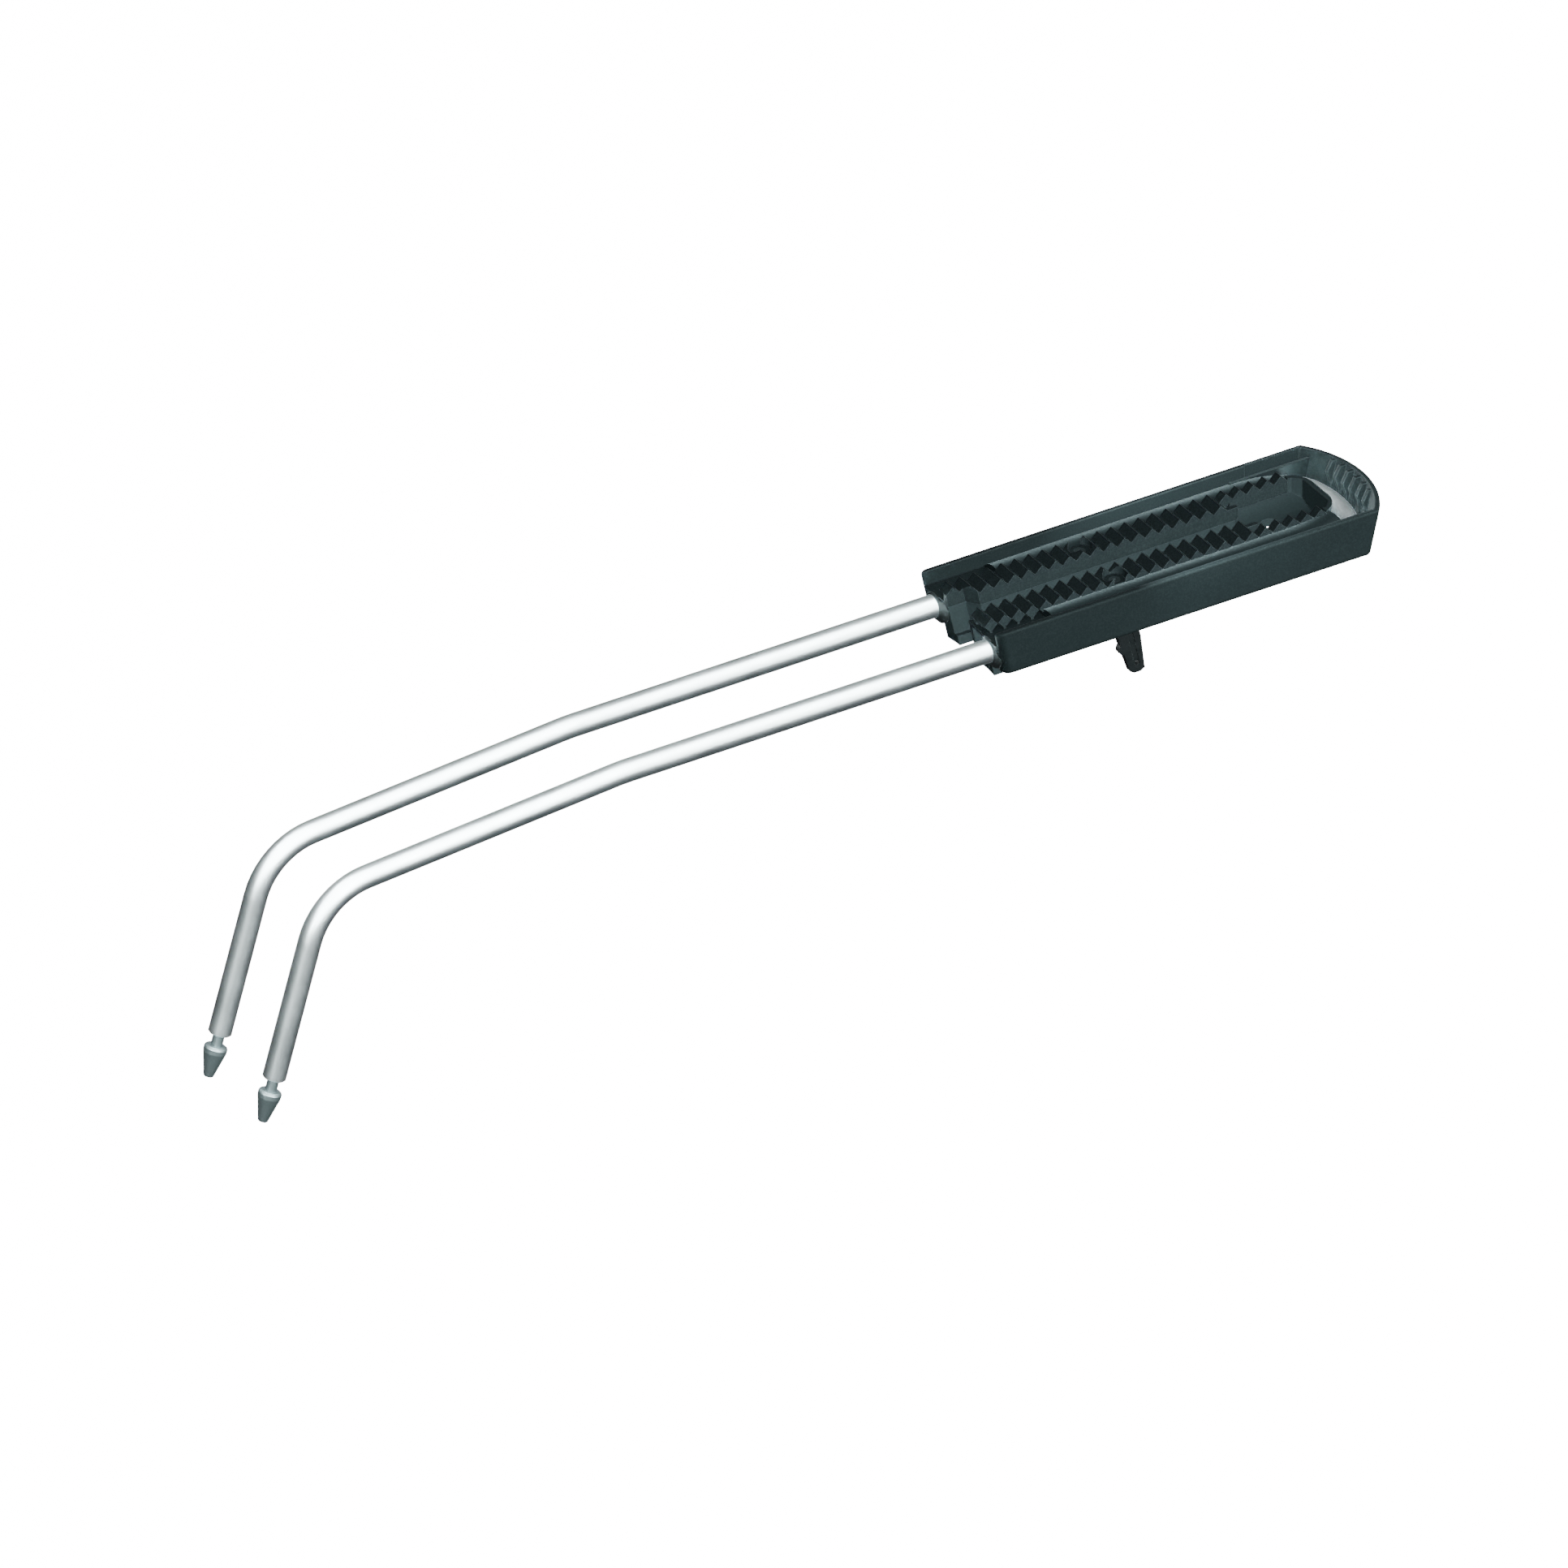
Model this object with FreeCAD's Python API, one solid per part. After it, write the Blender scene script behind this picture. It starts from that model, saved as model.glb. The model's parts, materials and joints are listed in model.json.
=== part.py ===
import FreeCAD
import Part
import math
import os

V = FreeCAD.Vector

# Hand-held two-leg detacher: an open toothed grip on a bent steel bow that ends in barbed tips.
# Millimetres.  Shapes are drawn with X running rearward from the grip's front top corner, Y across
# the grip and Z up from the axis of the bow's straight legs.  On export they all move by -ORIGIN,
# so that the row's origin lies under the middle of the tool, level with the ends of the tips.
ORIGIN = V(-47.09, 0, -66.65)
SIDES = (("left", -1), ("right", 1))

# Bow: one round rod bent into a U, with a gentle bend and a steep bend in each leg
ROD_R = 3.0
LEG_Y = 12.5
GENTLE_BEND_X = -105.9
GENTLE_BEND_DEG = 4.4
GENTLE_BEND_R = 60.0
MID_RUN = 87.5
STEEP_BEND_DEG = 69.4
STEEP_BEND_R = 18.5
TIP_RUN = 50.4
SHOULDER_CHAMFER = 0.4
BACK_R = 27.0
BACK_X = 109.1
BACK_CORNER_R = 6.5

# Barbed tip: distances run along its axis from the leg's shoulder
STUD_R = 1.25
STUD_DEPTH = 7.0
NECK_R = 1.5
NECK_LENGTH = 3.2
BARB_R = 3.0
BARB_CROWN_R = 2.3
BARB_CROWN_MID_R = 2.85
BARB_CROWN = 0.7
BARB_BAND = 1.1
BARB_BAND_END_R = 2.95
TIP_END_R = 1.1
TIP_END_CHAMFER = 0.2
TIP_LENGTH = 11.7

# Ferrule: a conical collar where each leg enters the grip
FERRULE_R = 4.9
FERRULE_NOSE_R = 3.15
FERRULE_NOSE_X = 0.3
FERRULE_CONE_LENGTH = 1.6
FERRULE_END_X = 4.6
FERRULE_FLAT_Z = 2.6

# Grip's front: a shallow V in plan, flat in the middle, that leans back as it goes down
FRONT_RIM_X = -0.8
FRONT_SET_BACK = 0.105
FRONT_FLAT_HALF = 7.1
FRONT_LEAN = 0.22

# Grip shell: an open tray whose rear face leans inwards as it goes down
GRIP_HALF = 18.3
RIM_Z = 7.4
SHELL_BASE_Z = -5.05
WALL = 1.4
DRAFT = 0.235
REAR_ARC_R = 28.7
REAR_ARC_X = 88.9
FLOOR_TOP_Z = SHELL_BASE_Z + WALL
FRONT_CORNER_R = 2.4
REAR_CORNER_R = 1.6
BASE_EDGE_R = 1.2
RIM_EDGE_R = 0.45
WALL_STEP_X = 94.0
WALL_STEP = 0.4
WINDOW_X = (86.0, 103.5)
WINDOW_HALF = 9.0

# Ribs inside the rear wall, which hold the back of the bow forwards
RIB_SPACING = 3.33
RIB_COUNT = 6
RIB_HALF = 0.55
RIB_TOP_Z = 7.1
RIB_FLAT_X = 114.2
RIB_NOSE_X = 112.6
RIB_NOSE_Z = 4.2
RIB_FOOT_X = 113.6
RIB_FOOT_Z = 0.6
RIB_CURVE = 0.005

# Channel body: the block between the legs, with a slot, a rear pocket and a keel under the shell
BLOCK_HALF = 7.4
BLOCK_TOP_Z = 2.0
SLOT_HALF = 4.0
SLOT_FLOOR_Z = -7.6
SLOT_END_X = 84.0
KEEL_HALF = 10.75
KEEL_Z = -9.1
KEEL_FLAT_X = 66.0
KEEL_END_X = 74.0
WEB_BACK_X = 4.6
MOUTH_KNEE_X = 5.25
MOUTH_END_X = 7.75
MOUTH_RIGHT_Y = 7.1
MOUTH_LOW_RIGHT_Y = 5.8
MOUTH_LEFT_Y = -2.6
MOUTH_LEDGE_Z = -6.3
MOUTH_WALL = 1.2
VOID_BACK_X = 5.6
VOID_SIDE_Y = -8.9
POCKET_HALF = 8.0
POCKET_END_X = 103.9
POCKET_CORNER = 2.0
POCKET_OUTER_R = 4.5
POCKET_BASE_Z = -2.6
POCKET_DISH_Z = -0.9
POCKET_DISH_R = 12.5
POCKET_WALL = 0.9
POCKET_END_WALL = 1.3
POCKET_HOLE_X = 91.5
POCKET_HOLE_R = 3.6
BACK_WALL_TOP_Z = 6.0
BACK_WALL_X = 97.6
BACK_WALL_HALF = 10.0
BACK_WALL_OUTER_R = 6.5
BACK_WALL_THICKNESS = 1.5

# Racks: plates that carry rows of square bars set on edge
PLATE_TOP_Z = 3.4
PLATE_FRONT_HALF = 16.85
TOOTH_PITCH = 4.0
TOOTH_FIRST_X = 2.9
TOOTH_COUNT = 25
TOOTH_HALF_DIAGONAL = 1.93
TOOTH_Z = 5.52
TOOTH_OUTER_Y = 10.5
TOOTH_SEAT_HALF = 0.35
TOOTH_SEAT_DEPTH = 0.2
SPINE_WIDTH = 1.3
SPINE_SET_BACK = 1.2
LIP_LENGTH = 1.6
RACK_END_X = 100.9
RACK_REAR_X = 84.0
BOSS_X = 40.4
BOSS_Y = 8.0
BOSS_R = 2.7
BOSS_CLEARING_R = 3.0
BOSS_TOP_Z = 5.2
SCREW_R = 0.9
SCREW_HEAD_R = 1.4
SCREW_HEAD = 1.0
SOCKET_R = 0.55
SOCKET_DEPTH = 0.35
RACK_SCREW_END_Z = -3.4

# Rod covers: half-round saddles over the legs, which turn inwards at the rear and carry a fence
COVER_R = 5.6
COVER_X = 18.1
COVER_TURN_X = 88.0
COVER_TURN_R = 28.0
COVER_TURN_DEG = 29.0
COVER_REAR_HALF = 9.0
FENCE_Y = (14.3, 15.1)
FENCE_TOP_Z = 5.46
FENCE_GAP = 0.3

# Keel screws: they clamp keel, shell floor and covers together
KEEL_SCREW_X = (22.0, 44.0, 62.0)
KEEL_SCREW_Y = 8.9
KEEL_SCREW_TOP_Z = -2.4
KEEL_SCREW_SEAT_Z = -6.6

# Bow saddle: a cradle on the shell floor, under the back of the bow
SADDLE_X = (106.4, 111.6)
SADDLE_HALF = 6.4
SADDLE_TOP_Z = 0.0
SADDLE_SCREW_Y = 4.2
SADDLE_SCREW_X = 107.4
SADDLE_SCREW_TOP_Z = -3.2

# Trigger: a flat lever with a hub, turning on a cross pin inside the slot
PIVOT_X = 45.5
PIVOT_Z = -4.3
PIN_R = 1.5
PIN_CLEARANCE = 0.05
HUB_R = 2.9
HUB_HALF = 2.0
BLADE_HALF = 0.9
BLADE_FRONT = ((42.9, -7.0), (46.2, -18.5), (49.5, -28.2))
BLADE_REAR = ((53.7, -28.2), (52.5, -18.6), (49.2, -4.5))
BLADE_TOE_Z = -28.9
BLADE_TOE_R = 1.1
NOSE_CENTRE = (47.9, -21.2)
NOSE_R = 1.65
BEAD_WIDTH = 1.5
BEAD_DEPTH = 0.3
BEAD_TOP = (48.2, -11.5)
BEAD_FOOT = (51.5, -26.6)
TOE_HOLE_R = 0.6
TRIGGER_SLOT_X = (42.7, 54.4)
TRIGGER_SLOT_HALF = 1.6

# Torsion spring round the left spacer: close-wound, one leg on the slot's floor, one in the trigger
SPACER_R = 2.1
SPACER_GAP = 0.1
SPRING_WIRE_R = 0.3
SPRING_LEG_R = 0.27
SPRING_CROSS_R = 0.256
SPRING_COIL_R = 2.65
SPRING_PITCH = 0.55
SPRING_TURNS = 3
SPRING_FIRST_Y = -2.45
SPRING_FLOOR_LEG = 4.0
SPRING_HOOK_DROP = 2.6
SPRING_HOOK_END_Y = -0.3
SPRING_HOLE_R = 0.4


def box(x, y, z):
    """Box between two values on each axis."""
    corner = V(x[0], y[0], z[0])
    return Part.makeBox(x[1] - x[0], y[1] - y[0], z[1] - z[0], corner)


def span(y_low, y_high, side):
    """The same stretch of Y on either side of the middle, in rising order."""
    return tuple(sorted((side * y_low, side * y_high)))


def side_prism(points, y):
    """Polygon given as (x, z) points, extruded between two values of Y."""
    corners = [V(x, y[0], z) for x, z in points]
    wire = Part.makePolygon(corners + corners[:1])
    return Part.Face(wire).extrude(V(0, y[1] - y[0], 0))


def lean_prism(points, z_high, z_low, lean):
    """Polygon given as (x, y) points at the top, sheared rearwards as it goes down."""
    corners = [V(x, y, z_high) for x, y in points]
    wire = Part.makePolygon(corners + corners[:1])
    drop = z_high - z_low
    return Part.Face(wire).extrude(V(lean * drop, 0, -drop))


def turned(profile, base, direction):
    """Solid of revolution from (radius, distance) points along an axis."""
    wire = Part.makePolygon([V(r, 0, d) for r, d in profile] + [V(profile[0][0], 0, profile[0][1])])
    solid = Part.Face(wire).revolve(V(0, 0, 0), V(0, 0, 1), 360)
    solid.Placement = FreeCAD.Placement(base, FreeCAD.Rotation(V(0, 0, 1), direction))
    return solid


def fused(shapes):
    """One solid from several that touch or overlap."""
    return shapes[0].multiFuse(shapes[1:]).removeSplitter()


def upright(radius, x, y, z_low, z_high):
    """Vertical cylinder."""
    return Part.makeCylinder(radius, z_high - z_low, V(x, y, z_low))


def edges_near(shape, test):
    """Edges whose middle point passes a test."""
    return [e for e in shape.Edges if test(e.valueAt((e.FirstParameter + e.LastParameter) / 2))]


def front_x(y, z):
    """The grip's front, at one place across and one height."""
    set_back = FRONT_SET_BACK * (GRIP_HALF - max(abs(y), FRONT_FLAT_HALF))
    return FRONT_RIM_X + set_back + FRONT_LEAN * (RIM_Z - z)


def ahead(inset=0):
    """All the space in front of the grip's front, or of a face set back from it."""
    across = (-30, -FRONT_FLAT_HALF, FRONT_FLAT_HALF, 30)
    face = [(front_x(y, 20) + inset, y) for y in across]
    return lean_prism([(-40, -30)] + face + [(-40, 30)], 20, -20, FRONT_LEAN)


# ---------------------------------------------------------------- bow and tips

def heading(angle):
    """Forward direction and inner normal of a leg that points `angle` degrees below -X."""
    a = math.radians(angle)
    return V(-math.cos(a), 0, -math.sin(a)), V(math.sin(a), 0, -math.cos(a))


def rod_bend(point, direction, centre, axis, degrees):
    """A bent piece of the rod."""
    disc = Part.Face(Part.Wire(Part.makeCircle(ROD_R, point, direction)))
    return disc.revolve(centre, axis, degrees)


def back_angle():
    """Half of the angle that the shallow arc across the back turns through."""
    return math.asin((LEG_Y - BACK_CORNER_R) / (BACK_R - BACK_CORNER_R))


def leg_rear_x():
    """Where a straight leg meets the corner of the back."""
    return BACK_X - BACK_R + (BACK_R - BACK_CORNER_R) * math.cos(back_angle())


def bow_leg(side):
    """One leg from the back corner to the shoulder: its solids, and the shoulder's point and way."""
    point = V(leg_rear_x(), side * LEG_Y, 0)
    gentle = GENTLE_BEND_R * math.tan(math.radians(GENTLE_BEND_DEG) / 2)
    steep = STEEP_BEND_R * math.tan(math.radians(STEEP_BEND_DEG) / 2)
    steps = (
        (point.x - GENTLE_BEND_X - gentle, GENTLE_BEND_R, GENTLE_BEND_DEG),
        (MID_RUN - gentle - steep, STEEP_BEND_R, STEEP_BEND_DEG),
    )
    angle = 0.0
    solids = []
    for length, radius, turn in steps:
        way, normal = heading(angle)
        solids.append(Part.makeCylinder(ROD_R, length, point, way))
        point = point + way * length
        centre = point + normal * radius
        solids.append(rod_bend(point, way, centre, V(0, -1, 0), turn))
        angle += turn
        point = centre - heading(angle)[1] * radius
    way = heading(angle)[0]
    length = TIP_RUN - steep - SHOULDER_CHAMFER
    solids.append(Part.makeCylinder(ROD_R, length, point, way))
    point = point + way * length
    solids.append(Part.makeCone(ROD_R, ROD_R - SHOULDER_CHAMFER, SHOULDER_CHAMFER, point, way))
    return solids, point + way * SHOULDER_CHAMFER, way


def bow_back():
    """The back of the bow: a shallow arc between two tight corners."""
    half_turn = math.degrees(back_angle())
    solids = []
    for side in (-1, 1):
        point = V(leg_rear_x(), side * LEG_Y, 0)
        centre = V(point.x, side * (LEG_Y - BACK_CORNER_R), 0)
        solids.append(rod_bend(point, V(1, 0, 0), centre, V(0, 0, -side), 90 - half_turn))
    centre = V(BACK_X - BACK_R, 0, 0)
    start = centre + V(math.cos(back_angle()), -math.sin(back_angle()), 0) * BACK_R
    way = V(math.sin(back_angle()), math.cos(back_angle()), 0)
    solids.append(rod_bend(start, way, centre, V(0, 0, 1), 2 * half_turn))
    return solids


def make_bow():
    solids = bow_back()
    bores = []
    for _, side in SIDES:
        leg, shoulder, way = bow_leg(side)
        solids += leg
        bores.append(Part.makeCylinder(STUD_R, STUD_DEPTH, shoulder, way * -1))
    return fused(solids).cut(Part.makeCompound(bores))


def make_tip(side):
    """Stud, neck and barb in one turned piece."""
    _, shoulder, way = bow_leg(side)
    band = NECK_LENGTH + BARB_CROWN
    profile = (
        (0, -STUD_DEPTH),
        (STUD_R, -STUD_DEPTH),
        (STUD_R, 0),
        (NECK_R, 0),
        (NECK_R, NECK_LENGTH),
        (BARB_CROWN_R, NECK_LENGTH),
        (BARB_CROWN_MID_R, NECK_LENGTH + BARB_CROWN / 2),
        (BARB_R, band),
        (BARB_BAND_END_R, band + BARB_BAND),
        (TIP_END_R + TIP_END_CHAMFER, TIP_LENGTH - TIP_END_CHAMFER),
        (TIP_END_R, TIP_LENGTH),
        (0, TIP_LENGTH),
    )
    return turned(profile, shoulder, way)


def make_ferrule(side):
    """Conical collar round a leg, flattened on top under the rack's plate."""
    cone_end = FERRULE_NOSE_X + FERRULE_CONE_LENGTH
    profile = (
        (ROD_R, FERRULE_NOSE_X),
        (FERRULE_NOSE_R, FERRULE_NOSE_X),
        (FERRULE_R, cone_end),
        (FERRULE_R, FERRULE_END_X),
        (ROD_R, FERRULE_END_X),
    )
    ring = turned(profile, V(0, side * LEG_Y, 0), V(1, 0, 0))
    flat_x = front_x(LEG_Y, FERRULE_FLAT_Z)
    above = box((flat_x, 20), span(0, 20, side), (FERRULE_FLAT_Z, 20))
    return ring.cut(above)


# ---------------------------------------------------------------- grip shell

def tray(inset, z_low, z_high):
    """The grip's outline between two heights, leaning in at the front and rear."""
    half = GRIP_HALF - inset
    radius = REAR_ARC_R - inset
    centre_x = REAR_ARC_X - DRAFT * (RIM_Z - z_high)
    side_x = centre_x + math.sqrt(radius ** 2 - half ** 2)
    far_x = -20.0
    corners = [V(side_x, -half, z_high), V(far_x, -half, z_high)]
    corners += [V(far_x, half, z_high), V(side_x, half, z_high)]
    arc = Part.Arc(corners[3], V(centre_x + radius, 0, z_high), corners[0]).toShape()
    outline = Part.Wire(Part.makePolygon(corners).Edges + [arc])
    drop = z_high - z_low
    return Part.Face(outline).extrude(V(-DRAFT * drop, 0, -drop)).cut(ahead(inset))


def rear_ribs():
    """Upright ribs that stand out from the rear wall."""
    ribs = []
    for index in range(RIB_COUNT):
        y = (index - (RIB_COUNT - 1) / 2) * RIB_SPACING
        set_back = RIB_CURVE * y * y
        profile = [(RIB_FLAT_X - set_back, RIB_TOP_Z), (RIB_NOSE_X - set_back, RIB_NOSE_Z),
                   (RIB_FOOT_X - set_back, RIB_FOOT_Z), (RIB_FOOT_X - set_back, FLOOR_TOP_Z),
                   (130, FLOOR_TOP_Z), (130, RIB_TOP_Z)]
        ribs.append(side_prism(profile, (y - RIB_HALF, y + RIB_HALF)))
    inside = tray(WALL / 2, FLOOR_TOP_Z, RIB_TOP_Z)
    return Part.makeCompound(ribs).common(inside)


def grip_outline():
    """The whole outside of the grip, with its rounded corners and edges."""
    middle = (SHELL_BASE_Z + RIM_Z) / 2
    outer = tray(0, SHELL_BASE_Z, RIM_Z)
    front = edges_near(outer, lambda p: p.x < 4 and abs(p.z - middle) < 1 and abs(p.y) > 18)
    outer = outer.makeFillet(FRONT_CORNER_R, front)
    rear = edges_near(outer, lambda p: p.x > 100 and abs(p.z - middle) < 1)
    outer = outer.makeFillet(REAR_CORNER_R, rear)
    base = edges_near(outer, lambda p: abs(p.z - SHELL_BASE_Z) < 0.01)
    outer = outer.makeFillet(BASE_EDGE_R, base)
    rim = edges_near(outer, lambda p: abs(p.z - RIM_Z) < 0.01)
    return outer.makeFillet(RIM_EDGE_R, rim)


def make_shell(outline, bow, ferrules):
    inner_half = GRIP_HALF - WALL
    cuts = [
        tray(WALL, FLOOR_TOP_Z, RIM_Z + 1),
        box((-5, 30), (-inner_half, inner_half), (BLOCK_TOP_Z, 20)),
        box((-5, WEB_BACK_X), (-KEEL_HALF, KEEL_HALF), (-20, 20)),
        box((0, SLOT_END_X + 1), (-BLOCK_HALF, BLOCK_HALF), (-20, 20)),
        box(WINDOW_X, (-WINDOW_HALF, WINDOW_HALF), (-20, 0)),
        box((WALL_STEP_X, 110.0), (-inner_half - WALL_STEP, inner_half + WALL_STEP),
            (FLOOR_TOP_Z, 20)),
    ]
    for _, side in SIDES:
        for x in KEEL_SCREW_X:
            cuts.append(upright(SCREW_R, x, side * KEEL_SCREW_Y, -20, 0))
        cuts.append(upright(SCREW_R, SADDLE_SCREW_X, side * SADDLE_SCREW_Y, -20, 0))
    shell = outline
    for cutter in cuts + ferrules:
        shell = shell.cut(cutter)
    return fused([shell] + rear_ribs().Solids).cut(bow)


# ---------------------------------------------------------------- channel body

def rounded_end(half, end_x, corner_r, x_start, z_low, z_high):
    """A bar along X whose rear end has two rounded corners."""
    k = corner_r * (1 - math.sqrt(0.5))
    a = [V(x_start, -half, z_low), V(end_x - corner_r, -half, z_low)]
    b = [V(end_x, corner_r - half, z_low), V(end_x, half - corner_r, z_low)]
    c = [V(end_x - corner_r, half, z_low), V(x_start, half, z_low)]
    edges = [
        Part.makeLine(a[0], a[1]),
        Part.Arc(a[1], V(end_x - k, k - half, z_low), b[0]).toShape(),
        Part.makeLine(b[0], b[1]),
        Part.Arc(b[1], V(end_x - k, half - k, z_low), c[0]).toShape(),
        Part.makeLine(c[0], c[1]),
        Part.makeLine(c[1], a[0]),
    ]
    return Part.Face(Part.Wire(edges)).extrude(V(0, 0, z_high - z_low))


def pocket_space(x_start, z_low, z_high):
    """The room inside the pocket's walls, whose two rear corners are cut off."""
    half = POCKET_HALF
    knee = POCKET_END_X - POCKET_CORNER
    points = ((x_start, -half), (knee, -half), (POCKET_END_X, POCKET_CORNER - half),
              (POCKET_END_X, half - POCKET_CORNER), (knee, half), (x_start, half))
    return lean_prism(points, z_high, z_low, 0)


def mouth_cuts():
    """The open mouth of the slot, which leans back with the front face."""
    def outline(right_y):
        return ((-4, MOUTH_LEFT_Y), (MOUTH_KNEE_X, MOUTH_LEFT_Y), (MOUTH_END_X, -SLOT_HALF),
                (MOUTH_END_X + 1, -SLOT_HALF), (MOUTH_END_X + 1, SLOT_HALF),
                (MOUTH_END_X, SLOT_HALF), (MOUTH_KNEE_X, right_y), (-4, right_y))
    upper = lean_prism(outline(MOUTH_RIGHT_Y), RIM_Z, MOUTH_LEDGE_Z, DRAFT)
    lower = lean_prism(outline(MOUTH_LOW_RIGHT_Y), RIM_Z, KEEL_Z - 1, DRAFT)
    void = box((-5, VOID_BACK_X), (VOID_SIDE_Y, MOUTH_LEFT_Y - MOUTH_WALL),
               (SLOT_FLOOR_Z, BLOCK_TOP_Z + 1))
    return [upper, lower, void]


def pocket_cuts():
    """The rear pocket, with a dished floor and a drain hole."""
    well = pocket_space(SLOT_END_X - 1, POCKET_DISH_Z, 20)
    centre = V(SLOT_END_X - 1, 0, POCKET_DISH_Z + POCKET_DISH_R)
    bowl = Part.makeCylinder(POCKET_DISH_R, 30, centre, V(1, 0, 0))
    above = box((SLOT_END_X - 1, 120), (-20, 20), (PLATE_TOP_Z, 20))
    hole = upright(POCKET_HOLE_R, POCKET_HOLE_X, 0, -20, 1)
    return [well.common(bowl), well.common(above), hole]


def back_wall():
    """Raised wall round the rear end of the pocket."""
    end_x = POCKET_END_X + BACK_WALL_THICKNESS
    outer = rounded_end(BACK_WALL_HALF, end_x, BACK_WALL_OUTER_R, BACK_WALL_X,
                        BLOCK_TOP_Z, BACK_WALL_TOP_Z)
    inner = pocket_space(BACK_WALL_X - 1, PLATE_TOP_Z, 20)
    plate = box((BACK_WALL_X, RACK_END_X), (-20, 20), (BLOCK_TOP_Z, 20))
    return outer.cut(inner).cut(plate)


def make_channel_body(bow, ferrules):
    block = box((0, SLOT_END_X), (-BLOCK_HALF, BLOCK_HALF), (SHELL_BASE_Z, BLOCK_TOP_Z))
    keel = side_prism(((0, KEEL_Z), (KEEL_FLAT_X, KEEL_Z), (KEEL_END_X, SHELL_BASE_Z),
                       (0, SHELL_BASE_Z)), (-KEEL_HALF, KEEL_HALF))
    web = box((0, WEB_BACK_X), (-KEEL_HALF, KEEL_HALF), (SHELL_BASE_Z, BLOCK_TOP_Z))
    pocket = rounded_end(POCKET_HALF + POCKET_WALL, POCKET_END_X + POCKET_END_WALL, POCKET_OUTER_R,
                         SLOT_END_X - 2, POCKET_BASE_Z, BLOCK_TOP_Z)
    foot = box((SLOT_END_X - 4, SLOT_END_X + 1), (-BLOCK_HALF, BLOCK_HALF),
               (SHELL_BASE_Z, POCKET_BASE_Z))
    bosses = [upright(BOSS_R, BOSS_X, side * BOSS_Y, FLOOR_TOP_Z, BLOCK_TOP_Z) for _, side in SIDES]
    body = fused([block, keel, web, pocket, foot, back_wall()] + bosses)
    cuts = [ahead()]
    cuts.append(box((MOUTH_END_X, KEEL_FLAT_X), (-SLOT_HALF, SLOT_HALF), (SLOT_FLOOR_Z, 20)))
    cuts.append(box((MOUTH_END_X, SLOT_END_X), (-SLOT_HALF, SLOT_HALF), (FLOOR_TOP_Z, 20)))
    cuts.append(box(TRIGGER_SLOT_X, (-TRIGGER_SLOT_HALF, TRIGGER_SLOT_HALF), (-20, 0)))
    cuts += mouth_cuts() + pocket_cuts()
    cuts.append(Part.makeCylinder(PIN_R, 2 * BLOCK_HALF + 2, V(PIVOT_X, -BLOCK_HALF - 1, PIVOT_Z),
                                  V(0, 1, 0)))
    for _, side in SIDES:
        cuts.append(upright(SCREW_R, BOSS_X, side * BOSS_Y, RACK_SCREW_END_Z, 20))
        for x in KEEL_SCREW_X:
            cuts.append(upright(SCREW_R, x, side * KEEL_SCREW_Y, -20, 0))
            cuts.append(upright(SCREW_HEAD_R, x, side * KEEL_SCREW_Y, -20, KEEL_SCREW_SEAT_Z))
    cuts += [bow] + ferrules
    for cutter in cuts:
        body = body.cut(cutter)
    return body


# ---------------------------------------------------------------- racks and covers

def cover_envelope(side):
    """Half-round bar over a leg with straight sides, turning inwards at the rear."""
    y = side * LEG_Y
    middle = Part.makeCylinder(COVER_R, COVER_TURN_X - COVER_X, V(COVER_X, y, 0), V(1, 0, 0))
    low = box((COVER_X, COVER_TURN_X), (y - COVER_R, y + COVER_R), (FLOOR_TOP_Z, 0))
    floor = box((COVER_X, COVER_TURN_X), (y - COVER_R, y + COVER_R), (FLOOR_TOP_Z, 20))
    section = fused([middle.common(floor), low])
    x = COVER_TURN_X
    foot = [V(x, y + COVER_R, 0), V(x, y + COVER_R, FLOOR_TOP_Z)]
    foot += [V(x, y - COVER_R, FLOOR_TOP_Z), V(x, y - COVER_R, 0)]
    crown = Part.Arc(foot[3], V(x, y, COVER_R), foot[0]).toShape()
    outline = Part.Face(Part.Wire(Part.makePolygon(foot).Edges + [crown]))
    centre = V(x, side * (LEG_Y - COVER_TURN_R), 0)
    bend = outline.revolve(centre, V(0, 0, -side), COVER_TURN_DEG)
    inner = GRIP_HALF - WALL
    fence = box((COVER_TURN_X, 130), span(*FENCE_Y, side), (0, FENCE_TOP_Z))
    fence = fence.common(tray(WALL + FENCE_GAP, 0, FENCE_TOP_Z))
    pocket = box((SLOT_END_X - 1, POCKET_END_X), (-COVER_REAR_HALF, COVER_REAR_HALF), (-20, 20))
    whole = fused([section, bend, fence]).cut(pocket)
    return whole.common(box((0, 130), (-inner, inner), (-20, 20)))


def make_rod_cover(side, bow, body):
    return cover_envelope(side).cut(bow).cut(body).cut(screw_shanks()).cut(make_pin())


def tooth_bar(x, y):
    """Square bar set on edge across the rack."""
    d = TOOTH_HALF_DIAGONAL
    points = ((x - d, TOOTH_Z), (x, TOOTH_Z - d), (x + d, TOOTH_Z), (x, TOOTH_Z + d))
    bar = side_prism(points, y)
    foot_z = PLATE_TOP_Z - TOOTH_SEAT_DEPTH
    seat = side_prism(((x - TOOTH_SEAT_HALF, foot_z), (x + TOOTH_SEAT_HALF, foot_z),
                       (x, TOOTH_Z)), y)
    return bar.fuse(seat)


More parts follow.
